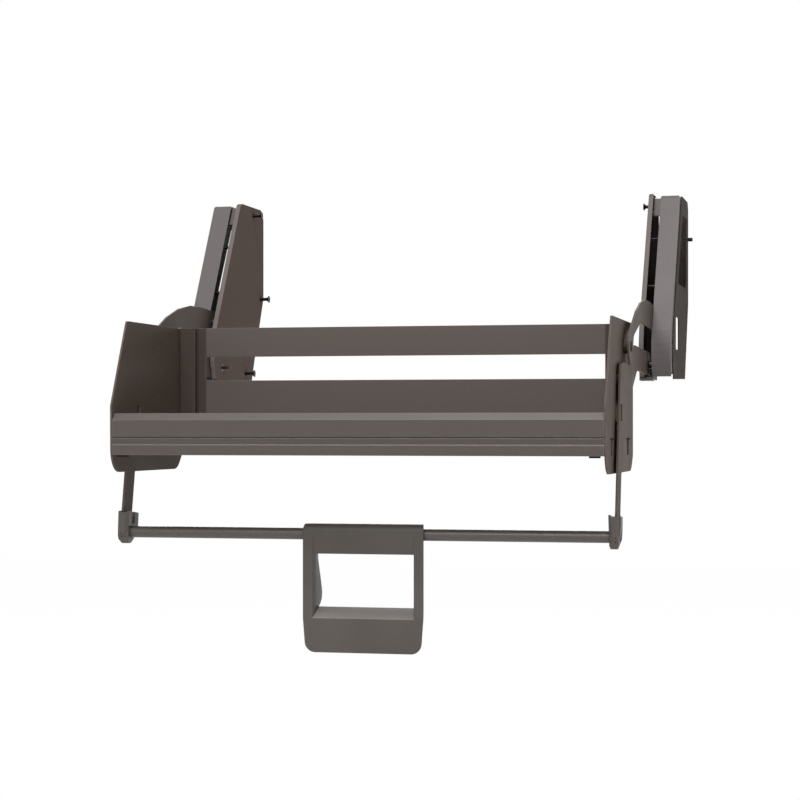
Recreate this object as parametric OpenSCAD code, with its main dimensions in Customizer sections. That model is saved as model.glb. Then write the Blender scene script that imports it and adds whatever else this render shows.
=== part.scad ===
// Pull-down wardrobe lift. A tray with a hanging bar and a pull handle is carried by two side units.
// Each side has two parallel goose-neck arms, so the tray stays level while it is lifted.
// Drawn in the lowered position. X is the width, Y goes into the wardrobe, Z is up.
// The middle of the bounding box is the origin. The outlines are written in a working frame
// with Y counted from the tray front and Z counted from the middle of the front rail.

/* [Overall] */
// Distance between the outer faces of the two mounting plates
overall_width = 762; // [700:1:900]
// Side play between sheets that pass each other
running_gap = 0.4; // [0.3:0.05:0.5]
// Radial clearance of a pin in its bush
pin_clearance = 0.05; // [0.02:0.01:0.1]
// Clearance round parts that only stand next to each other
loose_gap = 0.3; // [0.2:0.05:0.4]

/* [Side units] */
// Thickness of the inner plate and the mounting plate
plate_t = 2; // [1.5:0.1:2.5]
// Width of the front housing
housing_w = 28.8; // [28:0.2:34]
// Sheet thickness of the front housing
housing_t = 1.5; // [1:0.1:1.8]
// Width of the flange along the front of the inner plate
flange_w = 7.2; // [6:0.1:9]
// Width of the slot between the inner plate and the front housing
slot_w = 11; // [10.8:0.1:12]
// Distance of the front housing behind the flange
housing_setback = 7; // [5:0.5:9]
// Depth of the housing behind its sloping face
channel_depth = 20; // [18:1:22]
// Rear edge of the side units
unit_rear = 706; // [702:1:720]
// Top edge of the side units
unit_top = 364; // [362:1:372]
// Bottom edge of the side units
unit_bottom = 75; // [73:0.5:76]

/* [Arms] */
// Thickness of the four arms
arm_t = 2.8; // [2.4:0.1:3]
// Distance of the arm pivots in the side unit from the tray front
shaft_y = 478; // [476:1:481]
// Height of the lower arm pivot in the side unit
shaft_z = 96; // [95:0.5:97]
// Distance between the two pivots of a side, one above the other
link = 70; // [69:0.5:71]
// Length of an arm from pivot to pivot, along the depth
arm_run = 285; // [283:1:287]
// Rise of an arm from the tray pivot to the unit pivot
arm_rise = 53; // [51:1:55]
// Full angle of the lift
lift_angle = 85; // [60:1:86]
// Diameter of the lower shaft
shaft_d = 12; // [10:0.5:13]
// Diameter of the other pivot pins
pin_d = 10; // [8:0.5:12]

/* [Gas spring] */
// Outer diameter of the spring cylinder
spring_d = 15; // [13:0.5:16]
// Diameter of the spring rod
rod_d = 6; // [5:0.5:7]
// Stroke of the rod over the full angle
stroke = 25; // [18:1:27]

/* [Tray] */
// Thickness of the tray side panels
panel_t = 2.5; // [2:0.1:3]
// Thickness of the carrier plates and the hanger arms below them
carrier_t = 3; // [2.5:0.1:3.5]
// Top edge of the side panels
panel_top = 149.3; // [140:0.5:155]
// Bottom edge of the side panels
panel_bottom = -60.5; // [-66:0.5:-56]
// Rear edge of the side panels
panel_rear = 297; // [290:1:300]
// Depth of the front rail
rail_depth = 20; // [16:1:26]
// Wall thickness of the front rail
rail_wall = 2; // [1.6:0.1:2.4]
// Sheet thickness of the floor, the back and the corner posts
sheet_t = 1.5; // [1:0.1:1.8]

/* [Hanging bar and handle] */
// Diameter of the hanging bar
bar_d = 16; // [14:0.5:17]
// Height of the bar axis
bar_z = -144.7; // [-150:0.5:-140]
// Width of the handle at its top
handle_w = 169; // [150:1:200]
// Height of the handle
handle_h = 175.6; // [168:1:190]
// Depth of the handle
handle_d = 23; // [22:0.5:26]
// Swell of the handle's back behind the hand
grip_swell = 13; // [6:1:16]

/* [Fixings] */
// Diameter of the mounting screws
screw_d = 5.4; // [4:0.1:5.8]
// Diameter of the countersunk screw heads
screw_head_d = 11.3; // [10:0.1:12]
// Diameter of the locating peg
peg_d = 6; // [5:0.5:7]
// Length the peg stands out from the mounting plate
peg_out = 8; // [6:0.5:12]

/* [Hidden] */
$fn = 48;
far = 400;

// Places across the width, right side
x_out = overall_width / 2;
x_plate = x_out - plate_t;
x_house = x_plate - housing_w;
x_upper = x_house - running_gap - arm_t;
x_carrier = x_upper - running_gap - carrier_t;
x_lower = x_carrier - running_gap - arm_t;
x_slot = x_house - slot_w;
x_inner = x_slot - flange_w;
x_panel = x_lower - running_gap - panel_t;
x_tray = x_panel - loose_gap;
x_spring = x_house + housing_w / 2 + 3.5;

// Pivots, Y and Z
low_pivot = [shaft_y, shaft_z];
up_pivot = [shaft_y, shaft_z + link];
low_tray = [shaft_y - arm_run, shaft_z - arm_rise];
up_tray = [shaft_y - arm_run, shaft_z - arm_rise + link];

// Sloping face of the side units
face_foot = [436.5, 138];
face_lean = 31.8;
function face_y(z) = face_foot[0] + (z - face_foot[1]) * tan(face_lean);
face_turn = 72;

// Screws, spacer pins and the peg, Y and Z
screw_places = [[644, 352], [685, 216], [601, 89.5]];
spacer_places = [[face_y(292) + 16, 292], [face_y(216) + 16, 216]];
peg_place = [unit_rear - 12, 303];
screw_proud = 16;
sleeve_d = screw_d + 4;

// Gas spring, on a line that leans back from the lower shaft
spring_lean = 25;
shoe_r = 8;
reach = 50;
spring_start = 88;
spring_length = 138;
anchor_at = spring_start + spring_length + 12;
cam_t = 10;

// Tray
rail_top = 20.4;
rail_bottom = -36.6;
back_y = panel_rear + loose_gap;
back_t = 4;
post_w = 24;
post_d = 13;
strip_w = 13;
window_top = 106.5;
window_bottom = 71.2;
floor_z = -30;
plate_rivets = [[118, 66], [112, -2], [128, -46]];

// Bar, holders and handle
bar_y = 74;
bar_end = x_panel + 4;
holder_in = x_tray - 2.5;
holder_out = x_carrier + carrier_t + 3;
boss_d = 6;
handle_top = bar_z + 14.3;
handle_bottom = handle_top - handle_h;
handle_front = bar_y - handle_d / 2;

// Middle of the bounding box
y_mid = unit_rear / 2;
z_mid = (unit_top + 2 + handle_bottom) / 2;

// Colours
dark = [0.36, 0.34, 0.33];
mid = [0.45, 0.43, 0.42];
steel = [0.62, 0.62, 0.62];
black = [0.1, 0.1, 0.1];

function direction(v) = v / norm(v);

// Points of one rounded corner b of an outline, between its neighbours a and c
function corner(a, b, c) =
    let (
        r = b[2],
        p = [b[0], b[1]],
        u = direction([a[0], a[1]] - p),
        w = direction([c[0], c[1]] - p),
        half = acos(u * w) / 2,
        run = r / tan(half),
        mid_pt = p + direction(u + w) * r / sin(half),
        from = p + u * run - mid_pt,
        to = p + w * run - mid_pt,
        start = atan2(from[1], from[0]),
        turn = ((atan2(to[1], to[0]) - start + 540) % 360) - 180,
        n = max(2, ceil(abs(turn) / 9))
    )
    [for (i = [0 : n]) mid_pt + r * [cos(start + turn * i / n), sin(start + turn * i / n)]];

// Outline from points [y, z] or, with a corner radius, [y, z, r]
function rounded(pts) = [
    for (i = [0 : len(pts) - 1])
        each (len(pts[i]) == 2 ? [pts[i]]
            : corner(pts[(i + len(pts) - 1) % len(pts)], pts[i], pts[(i + 1) % len(pts)]))
];

// Everything is drawn on the right side and mirrored for the left
module side(s) {
    translate([0, -y_mid, -z_mid])
        mirror([s < 0 ? 1 : 0, 0, 0])
            children();
}

// A side-view outline made into a sheet of thickness t from x
module sheet(x, t) {
    translate([x, 0, 0])
        rotate([90, 0, 90])
            linear_extrude(t)
                children();
}

// A round piece along the width, at p = [y, z]
module round_x(p, x, length, d) {
    translate([x, p[0], p[1]])
        rotate([0, 90, 0])
            cylinder(d = d, h = length);
}

// Front of a side unit: it slopes, turns upright in a wide bend and turns in again at its foot.
// The points run up from a bottom, and lie inward of the front by d.
foot_rise = 19.5;
foot_run = 12;
function front_points(bottom, d = 0) = [
    [
        face_foot[0] + d + foot_run * (unit_bottom + foot_rise + 0.28 * d - bottom) / foot_rise,
        bottom
    ],
    [face_foot[0] + d, unit_bottom + foot_rise + 0.28 * d, face_turn - d],
    [face_foot[0] + d, face_foot[1] - 0.28 * d, face_turn - d]
];

// All that lies inward of the front and of the top by d
module inside_front(d, top, r) {
    polygon(rounded(concat(front_points(-far, d), [
        [face_y(top - d) + d / cos(face_lean), top - d, r - d],
        [far * 3, top - d],
        [far * 3, -far]
    ])));
}

// Front view of a folded piece, with its top corners rounded
module front_view(from, wide, top) {
    translate([0, far * 3, 0]) rotate([90, 0, 0]) linear_extrude(far * 3)
        polygon(rounded([
            [from, -far],
            [from, top, 3],
            [from + wide, top, 3],
            [from + wide, -far]
        ]));
}

// Inner plate: flat sheet with a flange folded along its front and round its top corner
plate_top = unit_top + 2;
plate_bend = 16;
module inner_outline() {
    polygon(rounded(concat(front_points(unit_bottom), [
        [face_y(plate_top), plate_top, plate_bend],
        [unit_rear - 1, plate_top, 20],
        [unit_rear - 1, 218, 12],
        [656, 119, 30],
        [636, unit_bottom, 4]
    ])));
}

module inner_plate() {
    difference() {
        union() {
            sheet(x_inner, plate_t) inner_outline();
            intersection() {
                sheet(x_inner, flange_w) difference() {
                    inner_outline();
                    inside_front(plate_t, plate_top, plate_bend);
                    translate([face_y(plate_top) + 45, 0]) square(far * 2);
                }
                front_view(x_inner, flange_w, plate_top);
            }
        }
        for (p = screw_places) round_x(p, x_inner - 1, plate_t + 2, screw_d + 2 * loose_gap);
        round_x(low_pivot, x_inner - 1, plate_t + 2, shaft_d + 4);
    }
}

// Front housing: folded channel that covers the spring and carries the upper arm stud
house_top = unit_top - 1;
house_bottom = unit_bottom - 2;
house_bend = 10;
module housing_outline() {
    translate([housing_setback, 0])
        polygon(rounded(concat(front_points(house_bottom), [
            [face_y(house_top), house_top, house_bend],
            [face_y(house_top) + channel_depth + 6, house_top],
            [face_y(192) + channel_depth, 192, 6],
            [shaft_y + 26, 186, 6],
            [shaft_y + 26, house_bottom]
        ])));
}

// All that lies behind the front of the housing by a distance
module behind_housing(distance) {
    translate([housing_setback + distance, 0])
        polygon(rounded(concat(front_points(-far), [
            [face_y(far * 2), far * 2],
            [far * 6, far * 2],
            [far * 6, -far]
        ])));
}

module front_housing() {
    difference() {
        intersection() {
            union() {
                sheet(x_house, housing_t) housing_outline();
                sheet(x_house, housing_w) difference() {
                    housing_outline();
                    intersection() {
                        translate([housing_setback, 0]) inside_front(housing_t, house_top, house_bend);
                        translate([0, house_bottom + housing_t]) square([far * 3, far * 2]);
                    }
                }
                sheet(x_plate - housing_t, housing_t) difference() {
                    housing_outline();
                    behind_housing(channel_depth);
                }
            }
            front_view(x_house, housing_w, house_top);
        }
        round_x(up_pivot, x_house - 1, housing_t + 2, pin_d);
        round_x(low_pivot, x_house - 1, housing_t + 2, shaft_d + 4);
        translate([x_house + housing_t, shaft_y - 24, house_bottom - 1])
            cube([housing_w, 80, 12]);
    }
}

// Mounting plate: outer sheet with two windows and a flange folded in along its rear edge
module mounting_outline() {
    intersection() {
        polygon(rounded([
            [face_foot[0], house_bottom],
            [face_foot[0], house_top],
            [unit_rear - 10, house_top, 4],
            [unit_rear, house_top - 12, 4],
            [unit_rear, 200, 12],
            [652, unit_bottom + 3, 4]
        ]));
        behind_housing(channel_depth + loose_gap);
    }
}

window_margin = 23;
function window_front(z) = face_y(z) + housing_setback + channel_depth + window_margin;

module mounting_plate() {
    difference() {
        union() {
            sheet(x_plate, plate_t) difference() {
                mounting_outline();
                polygon(rounded([
                    [window_front(222), 222, 4],
                    [window_front(334), 334, 4],
                    [unit_rear - 24, 334, 4],
                    [unit_rear - 24, 236, 6],
                    [unit_rear - 36, 222, 6]
                ]));
                polygon(rounded([[504, 120, 5], [504, 170, 5], [552, 170, 5], [552, 120, 5]]));
            }
            translate([x_plate - 24, unit_rear - plate_t, 206])
                cube([24, plate_t, house_top - 14 - 206]);
        }
        for (p = screw_places) round_x(p, x_plate - 1, plate_t + 2, screw_d + 2 * loose_gap);
        round_x(low_pivot, x_plate - 1, plate_t + 2, shaft_d + 4);
        round_x(spring_anchor, x_plate - 1, plate_t + 2, rod_d);
        round_x(peg_place, x_plate - 1, plate_t + 2, peg_d + peg_shoulder);
    }
}

// Block that closes the top of the arm slot, set back from the front
module slot_block() {
    sheet(x_slot + 0.02, x_house - x_slot - 0.04)
        polygon([
            [face_y(331) + 16, 331],
            [face_y(359) + 16, 359],
            [face_y(359) + 32, 359],
            [face_y(331) + 32, 331]
        ]);
}

// Shoe that closes the foot of the arm slot, under the inner plate and between the two walls
module slot_foot() {
    front = face_foot[0] + foot_run - 3;
    sheet(x_inner, x_house - x_inner - 0.04)
        polygon(rounded([
            [front, unit_bottom - 0.02],
            [front, unit_bottom - 3.5, 3],
            [front + 39, unit_bottom - 3.5, 3],
            [front + 39, unit_bottom - 0.02]
        ]));
    sheet(x_slot + 0.02, x_house - x_slot - 0.04)
        translate([front + 5, unit_bottom - 1]) square([27, 3]);
}

// Rubber buffer on the slot foot, under the lower arm
module arm_buffer() {
    front = face_foot[0] + foot_run + 3;
    sheet(x_slot + 1, x_house - x_slot - 2)
        polygon([
            [front, unit_bottom + 2],
            [front, arm_under(front) - 0.15],
            [front + 20, arm_under(front + 20) - 0.15],
            [front + 20, unit_bottom + 2]
        ]);
}

// Tubes round the screws, between the two plates
module screw_sleeves() {
    for (p = screw_places)
        difference() {
            round_x(p, x_inner + plate_t, x_plate - x_inner - plate_t, sleeve_d);
            round_x(p, x_inner, x_plate - x_inner + 1, screw_d + 2 * loose_gap);
        }
}

// Countersunk screws, standing proud of the inner plate until they are driven home
module mounting_screws() {
    head = (screw_head_d - screw_d) / 2;
    for (p = screw_places)
        translate([x_inner - screw_proud, p[0], p[1]])
            rotate([0, 90, 0]) difference() {
                union() {
                    cylinder(d = screw_head_d, h = 0.8);
                    translate([0, 0, 0.8]) cylinder(d1 = screw_head_d, d2 = screw_d, h = head);
                    cylinder(d = screw_d, h = x_out + 0.5 - x_inner + screw_proud - 4);
                    translate([0, 0, x_out - 3.5 - x_inner + screw_proud])
                        cylinder(d1 = screw_d, d2 = 1, h = 4);
                }
                translate([0, 0, -1]) cylinder(d = 4, h = 3, $fn = 6);
            }
}

// Peg that finds its hole in the cabinet side, with a shoulder flush in the plate and a head behind it
peg_shoulder = 2;
module locating_peg() {
    difference() {
        union() {
            round_x(peg_place, x_out - 0.5, peg_out + 0.5, peg_d);
            round_x(peg_place, x_plate, plate_t, peg_d + peg_shoulder);
            round_x(peg_place, x_plate - 1.5, 1.5, peg_d + 5);
        }
        round_x(peg_place, x_out + peg_out - 3, 4, 2.5);
    }
}

// Pins that hold the two side walls of the slot apart
module slot_spacers() {
    for (p = spacer_places)
        round_x(p, x_inner + plate_t, x_house - x_inner - plate_t, 5);
}

// Stud of the upper arm, fixed in the housing wall and clear of the lower arm
module upper_stud() {
    round_x(up_pivot, x_carrier + 0.2, x_house + housing_t + 5 - x_carrier - 0.2, pin_d);
    round_x(up_pivot, x_house + housing_t, 5, pin_d + 7);
    round_x(up_pivot, x_carrier + 0.2, x_upper - x_carrier - 0.2 - loose_gap, pin_d + 8);
}

// Bushes of the lower shaft, in the inner plate and in the mounting plate
module shaft_bush() {
    difference() {
        union() {
            round_x(low_pivot, x_inner, x_lower - loose_gap - x_inner, shaft_d + 4);
            round_x(low_pivot, x_plate - 4, plate_t + 4, shaft_d + 4);
            round_x(low_pivot, x_plate - 1.5, 1.5, shaft_d + 9);
        }
        round_x(low_pivot, x_inner - 2, x_out - x_inner + 4, shaft_d + 2 * pin_clearance);
    }
}

// Shaft of the lower arm, turning with it. Its inner end is turned down and stands out of the plate.
module lower_shaft() {
    round_x(low_pivot, x_inner, x_out - x_inner - 0.5, shaft_d);
    round_x(low_pivot, x_inner - 13, 13 + 1, shaft_d / 2 - 1);
}

// Goose-neck arms. Outlines are measured from the tray pivot of each arm.
hub = 22;
tail = 18;

module upper_arm_outline() {
    polygon(rounded([
        [-hub - 2, -hub - 2, hub],
        [-hub - 2, 11, 16],
        [115, 82, 420],
        [arm_run + tail, arm_rise + tail, tail - 0.5],
        [arm_run + tail, arm_rise - tail, tail - 0.5],
        [118, 39, 90],
        [hub + 4, 15, 18],
        [hub + 4, -hub - 2, hub]
    ]));
}

module lower_arm_outline() {
    polygon(rounded([
        [-hub, -hub, hub - 0.5],
        [-hub, hub, hub - 0.5],
        [21, hub, 10],
        [86, 76, 50],
        [arm_run + tail, arm_rise + tail, tail - 0.5],
        [arm_run + tail, arm_rise - tail, tail - 0.5],
        concat(arm_crook, 45),
        [hub + 4, -8.6, 6],
        [hub + 4, -hub, 9]
    ]));
}

// Height of the underside of the lower arm, behind its crook
arm_crook = [130, 41];
function arm_under(y) =
    low_tray[1] + arm_crook[1]
        + (arm_rise - tail - arm_crook[1]) * (y - low_tray[0] - arm_crook[0]) / (arm_run + tail - arm_crook[0]);

module upper_arm() {
    difference() {
        sheet(x_upper, arm_t) translate(up_tray) upper_arm_outline();
        round_x(up_tray, x_upper - 1, arm_t + 2, pin_d + 4);
        round_x(up_pivot, x_upper - 1, arm_t + 2, pin_d + 4);
    }
}

// Bushes pressed into the two ends of the upper arm
module upper_arm_bushes() {
    for (p = [up_tray, up_pivot])
        difference() {
            round_x(p, x_upper - 0.2, arm_t + 0.4, pin_d + 4);
            round_x(p, x_upper - 1, arm_t + 2, pin_d + 2 * pin_clearance);
        }
}

module lower_arm() {
    difference() {
        sheet(x_lower, arm_t) translate(low_tray) lower_arm_outline();
        round_x(low_tray, x_lower - 1, arm_t + 2, pin_d + 4);
        round_x(low_pivot, x_lower - 1, arm_t + 2, shaft_d);
    }
}

// Bush pressed into the tray end of the lower arm
module lower_arm_bush() {
    difference() {
        round_x(low_tray, x_lower - 0.2, arm_t + 0.4, pin_d + 4);
        round_x(low_tray, x_lower - 1, arm_t + 2, pin_d + 2 * pin_clearance);
    }
}

// Spiral cam on the shaft. The shoe path shortens evenly with the angle.
function shoe_path(a) = reach - stroke * a / lift_angle;
function spring_dir(a) = [sin(spring_lean - a), cos(spring_lean - a)];
function cam_point(a) =
    let (
        r = shoe_path(a),
        slope = stroke / lift_angle * 180 / PI,
        n = direction([r, slope])
    )
    spring_dir(a) * (r - (shoe_r + 0.1) * n[0])
        + [-spring_dir(a)[1], spring_dir(a)[0]] * (shoe_r + 0.1) * -n[1];

module spring_cam() {
    difference() {
        sheet(x_spring - cam_t / 2, cam_t) translate(low_pivot) union() {
            polygon(concat(
                [for (a = [-4 : 3 : lift_angle + 8]) cam_point(a)],
                [[-shaft_d * 0.5, -shaft_d * 0.45], [shaft_d * 0.7, -shaft_d * 0.45]]
            ));
            circle(r = shaft_d / 2 + 5);
        }
        round_x(low_pivot, x_spring - cam_t, cam_t * 2, shaft_d);
    }
}

// Gas spring. Drawn upright from the shaft, then leaned back.
spring_anchor = low_pivot + anchor_at * spring_dir(0);
bore = spring_d / 2 - 1.2;

module along_spring() {
    translate([x_spring, low_pivot[0], low_pivot[1]])
        rotate([-spring_lean, 0, 0])
            children();
}

module spring_cylinder() {
    along_spring() difference() {
        union() {
            translate([0, 0, spring_start]) rotate_extrude()
                polygon([
                    [rod_d / 2 + pin_clearance, 0],
                    [spring_d / 2 - 1, 0],
                    [spring_d / 2, 1.5],
                    [spring_d / 2, spring_length - 3],
                    [spring_d / 2 - 3, spring_length],
                    [0, spring_length],
                    [0, spring_length - 6],
                    [bore, spring_length - 6],
                    [bore, 8],
                    [rod_d / 2 + pin_clearance, 8]
                ]);
            translate([-4, 0, anchor_at]) rotate([0, 90, 0]) cylinder(r = rod_d / 2 + 4, h = 8);
            translate([-4, -4, spring_start + spring_length - 2]) cube([8, 8, 10]);
        }
        translate([-5, 0, anchor_at]) rotate([0, 90, 0])
            cylinder(r = rod_d / 2 + pin_clearance, h = 10);
    }
}

// Rod with its piston and the rounded shoe that rides on the cam
module spring_rod() {
    along_spring() {
        translate([0, 0, reach + shoe_r - 1])
            cylinder(d = rod_d, h = spring_start + spring_length - 16 - reach - shoe_r);
        translate([0, 0, spring_start + spring_length - 17])
            cylinder(r = bore - pin_clearance, h = 7);
        translate([0, 0, reach + shoe_r - 4]) cylinder(d = rod_d + 5, h = 10);
        translate([-6, 0, reach]) rotate([0, 90, 0]) cylinder(r = shoe_r, h = 12);
    }
}

module spring_pin() {
    round_x(spring_anchor, x_spring - 7, x_out - x_spring + 7 - 0.3, rod_d);
    round_x(spring_anchor, x_spring - 9, 2, rod_d + 4);
}

// T-shaped cut-out, its head from y and its stem below the middle of the head
module tee(y, head, stem) {
    translate([y, -16]) square([head, 3]);
    translate([y + (head - stem) / 2, -37]) square([stem, 22]);
}

// Tray side panel: sheet with a low straight front, a slanted shoulder and rounded lower corners
module tray_panel() {
    difference() {
        sheet(x_panel, panel_t) difference() {
            polygon(rounded([
                [0, 30.5, 6],
                [60.5, panel_top, 6],
                [panel_rear, panel_top],
                [panel_rear, -39, 10],
                [276, panel_bottom, 34],
                [1, panel_bottom, 32]
            ]));
            translate([103, 9.7]) square([11, 22.8]);
            tee(40, 38, 20);
        }
        for (p = [[205.6, 124.1], [200.4, 112.8]])
            round_x(p, x_panel - 1, panel_t + 2, 3.4);
        for (p = concat(plate_rivets, [low_tray, up_tray]))
            round_x(p, x_panel - 1, panel_t + 2, rivet_d(p));
    }
}

// The pivots pass through larger holes than the rivets
function rivet_d(p) = (p == low_tray || p == up_tray) ? pin_d : 5;

// Carrier plate. Its leading edge runs on down as the hanger arm that holds the bar.
hang_lean = 0.217;
function lead_y(z) = 84 + (z + 16) * hang_lean;

module carrier_outline() {
    polygon(rounded([
        [lead_y(bar_z - 7), bar_z - 7, 3],
        [lead_y(86), 86, 12],
        [lead_y(86) + 32, 89, 34],
        [224, 90, 16],
        [232, 66, 12],
        [230, 46, 14],
        [217, 37, 3],
        [231, 28.5, 2],
        [217, 20, 3],
        [231, 8, 8],
        [231, panel_bottom + 1, 50],
        [lead_y(panel_bottom + 1) + 35, panel_bottom + 1, 3],
        [lead_y(bar_z - 7) + 35, bar_z - 7, 3]
    ]));
}

module carrier_plate() {
    difference() {
        sheet(x_carrier, carrier_t) difference() {
            carrier_outline();
            translate([101, 9.7]) square([18, 22.8]);
            tee(161, 41, 23);
        }
        for (p = plate_rivets) round_x(p, x_carrier - 1, carrier_t + 2, 5);
        round_x(low_tray, x_carrier - 1, carrier_t + 2, pin_d);
        round_x([160, 50], x_carrier - 1, carrier_t + 2, 5);
        round_x([bar_y, bar_z], x_carrier - 1, carrier_t + 2, boss_d);
    }
}

// Rivets with a collar that hold the carrier plate off the panel, flush on both faces
module plate_spacers() {
    for (p = plate_rivets) {
        round_x(p, x_panel, x_carrier + carrier_t - x_panel, 5);
        round_x(p, x_panel + panel_t, x_carrier - x_panel - panel_t, 14);
    }
}

// Pivot pins on the tray, riveted flush in the panel
module lower_tray_pin() {
    round_x(low_tray, x_panel, x_carrier + carrier_t - x_panel, pin_d);
}

module upper_tray_pin() {
    round_x(up_tray, x_panel, x_upper + arm_t + 2 - x_panel, pin_d);
    round_x(up_tray, x_panel + panel_t, x_upper - loose_gap - x_panel - panel_t, pin_d + 10);
    round_x(up_tray, x_upper + arm_t + 0.5, 1.5, pin_d + 4);
}

// Rear corner post: folded channel with a narrow flange that the back is riveted to
module corner_post() {
    front = back_y - post_d;
    edge = x_tray - post_w;
    translate([0, 0, rail_bottom])
        linear_extrude(panel_top + 0.3 - rail_bottom)
            polygon([
                [x_tray, back_y - 2],
                [x_tray, front],
                [edge, front],
                [edge, back_y - sheet_t - 0.02],
                [edge - strip_w, back_y - sheet_t - 0.02],
                [edge - strip_w, back_y - 0.02],
                [edge + sheet_t, back_y - 0.02],
                [edge + sheet_t, front + sheet_t],
                [x_tray - sheet_t, front + sheet_t],
                [x_tray - sheet_t, back_y - 2]
            ]);
}

// Front rail: hollow drawn section with a chamfered top edge and a groove along its face
module rail_outline() {
    polygon([
        [0, rail_bottom],
        [0, -22.8],
        [1.2, -21.8],
        [0.3, -13.4],
        [1.8, -13.2],
        [1.8, -11.8],
        [0, -11.6],
        [0, 11.2],
        [0.6, 12],
        [8, rail_top],
        [rail_depth, rail_top],
        [rail_depth, rail_bottom]
    ]);
}

module front_rail() {
    mid_z = -17;
    sheet(-x_tray, 2 * x_tray) difference() {
        rail_outline();
        translate([rail_wall + 1.4, rail_bottom + rail_wall])
            square([rail_depth - 2 * rail_wall - 1.4, mid_z - rail_bottom - 1.5 * rail_wall]);
        polygon([
            [rail_wall + 1.4, mid_z + rail_wall / 2],
            [rail_wall + 1.4, 11.6],
            [rail_wall + 7.4, rail_top - rail_wall],
            [rail_depth - rail_wall, rail_top - rail_wall],
            [rail_depth - rail_wall, mid_z + rail_wall / 2]
        ]);
    }
}

// Small feet under the two ends of the rail
module rail_feet() {
    for (x = [-x_tray + 6, x_tray - 20])
        translate([x, 3, rail_bottom - 2.5])
            cube([14, 10, 2.5]);
}

// Back: a top rail and a board, each a folded channel, with an open window between them
module back_channel(low, high) {
    sheet(-x_tray, 2 * x_tray)
        polygon([
            [back_y, low],
            [back_y, high],
            [back_y + back_t, high],
            [back_y + back_t, high - 5],
            [back_y + back_t - 1, high - 5],
            [back_y + back_t - 1, high - sheet_t],
            [back_y + sheet_t, high - sheet_t],
            [back_y + sheet_t, low + sheet_t],
            [back_y + back_t - 1, low + sheet_t],
            [back_y + back_t - 1, low + 5],
            [back_y + back_t, low + 5],
            [back_y + back_t, low]
        ]);
}

module back_rail() {
    back_channel(window_top, panel_top + 0.4);
}

module back_board() {
    back_channel(rail_bottom + 4, window_bottom);
}

// Floor: sheet with its edges folded down, resting between the rail, the back and the panels
module tray_floor() {
    gap = 0.1;
    depth = back_y - post_d - 0.4 - rail_depth - gap;
    wide = x_tray - post_w - strip_w - 0.4;
    translate([-x_tray, rail_depth + gap, floor_z]) cube([2 * x_tray, depth, sheet_t]);
    translate([-wide, rail_depth + gap, floor_z])
        cube([2 * wide, back_y - rail_depth - 2 * gap, sheet_t]);
    translate([-x_tray, rail_depth + gap, floor_z - 6]) cube([2 * x_tray, sheet_t, 6]);
    for (x = [-x_tray, x_tray - sheet_t])
        translate([x, rail_depth + gap, floor_z - 6]) cube([sheet_t, depth, 6]);
}

// Hanging bar: round tube between the two holders
module hanging_bar() {
    difference() {
        round_x([bar_y, bar_z], -bar_end, 2 * bar_end, bar_d);
        round_x([bar_y, bar_z], -bar_end - 1, 2 * bar_end + 2, bar_d - 3);
    }
}

// Bar holder: moulded shoe, tapered to its foot, open at the top for the hanger arm
module bar_holder() {
    top = -112.5;
    foot = bar_z - 15.8;
    middle = (holder_in + holder_out) / 2;
    difference() {
        intersection() {
            sheet(holder_in, holder_out - holder_in)
                polygon(rounded([
                    [58, top - 2, 1.5],
                    [58, -146, 12],
                    [64, foot, 4],
                    [80, foot, 5],
                    [103, -140, 14],
                    [108, top - 6, 2]
                ]));
            translate([0, 120, 0]) rotate([90, 0, 0]) linear_extrude(80)
                polygon(rounded([
                    [holder_in, top],
                    [holder_in + 3, top - 2.5, 4],
                    [holder_out - 3, top - 2.5, 4],
                    [holder_out, top],
                    [holder_out - 1, -144, 14],
                    [middle + 4.5, foot, 1],
                    [middle - 4.5, foot, 1],
                    [holder_in + 1.6, -148, 14]
                ]));
        }
        difference() {
            sheet(x_carrier - 0.15, carrier_t + 0.3)
                polygon([
                    [lead_y(bar_z - 7.2) - 0.3, bar_z - 7.2],
                    [lead_y(-90) - 0.3, -90],
                    [lead_y(-90) + 35.3, -90],
                    [lead_y(bar_z - 7.2) + 35.3, bar_z - 7.2]
                ]);
            round_x([bar_y, bar_z], x_carrier - 1, carrier_t + 2, boss_d - 0.4);
        }
        round_x([bar_y, bar_z], holder_in - 1, bar_end + 0.2 - holder_in + 1, bar_d + 2 * pin_clearance);
        sheet(holder_in - 1, x_carrier - holder_in - 1)
            polygon([[88, top + 5], [95, top + 5], [93, -134], [87, -132]]);
        translate([holder_out - 1, 70, -135]) cube([3, 6, 40]);
    }
}

// Pull handle: two shells clamped round the bar. The whole handle can swing on the bar.
module handle_front_view() {
    top = handle_w / 2;
    foot = top - 3.6;
    polygon(rounded([
        [-top + 3.5, handle_top, 3],
        [-top, handle_top - 8, 6],
        [-top, handle_top - 62, 60],
        [-foot, handle_bottom, 14],
        [foot, handle_bottom, 14],
        [top, handle_top - 62, 60],
        [top, handle_top - 8, 6],
        [top - 3.5, handle_top, 3]
    ]));
}

// Side view: the top wraps over the bar and the back swells out behind the hand
module handle_side_view() {
    back = handle_front + handle_d;
    polygon(rounded([
        [handle_front, handle_top, 12],
        [handle_front, handle_bottom, 4],
        [back - 3, handle_bottom, 4],
        [back - 3, handle_top - 122, 20],
        [back + grip_swell, handle_top - 97, 26],
        [back - 2, handle_top - 44, 40],
        [back, handle_top - 26, 12],
        [back, handle_top, 11]
    ]));
}

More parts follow.
